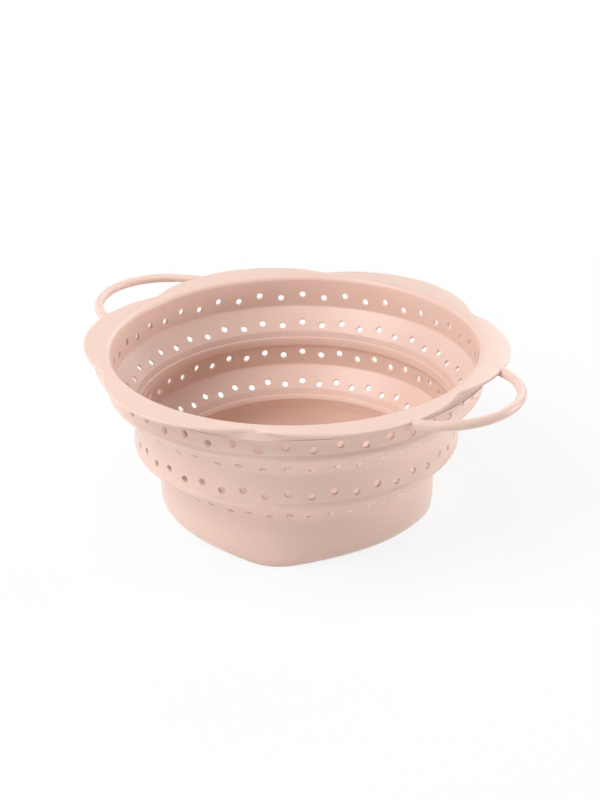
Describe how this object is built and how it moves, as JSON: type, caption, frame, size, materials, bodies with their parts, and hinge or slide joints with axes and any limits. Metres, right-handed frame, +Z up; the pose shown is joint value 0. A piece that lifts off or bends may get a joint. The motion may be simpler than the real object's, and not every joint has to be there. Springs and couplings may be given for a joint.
{
  "type": "collapsible colander",
  "caption": "Round collapsible silicone colander with a lobed rim, loop handles and a square foot; two conical folds turn inside out so its rings nest flat.",
  "frame": {"origin": "centre of the foot, on the surface that the colander stands on", "axes": "+X through the middle of one handle, +Y across the bowl, +Z up along the bowl's axis"},
  "size_m": [0.2994, 0.25, 0.1067],
  "materials": {
    "silicone": "satin",
    "steel": "satin"
  },
  "bodies": {
    "base": {"base_cup": "silicone", "lower_fold": "silicone"},
    "middle": {"middle_ring": "silicone", "upper_fold": "silicone"},
    "rim": {"rim_ring": "silicone", "rim_hoop": "steel", "handle_wire_right": "steel", "handle_grip_right": "silicone", "handle_wire_left": "steel", "handle_grip_left": "silicone"}
  },
  "joints": [
    {"name": "lower_fold_slide", "type": "slide", "parent": "base", "child": "middle", "axis": [0, 0, 1], "range_m": [-0.031, 0], "deforming": ["lower_fold"]},
    {"name": "upper_fold_slide", "type": "slide", "parent": "middle", "child": "rim", "axis": [0, 0, 1], "range_m": [-0.03, 0], "deforming": ["upper_fold"]}
  ]
}
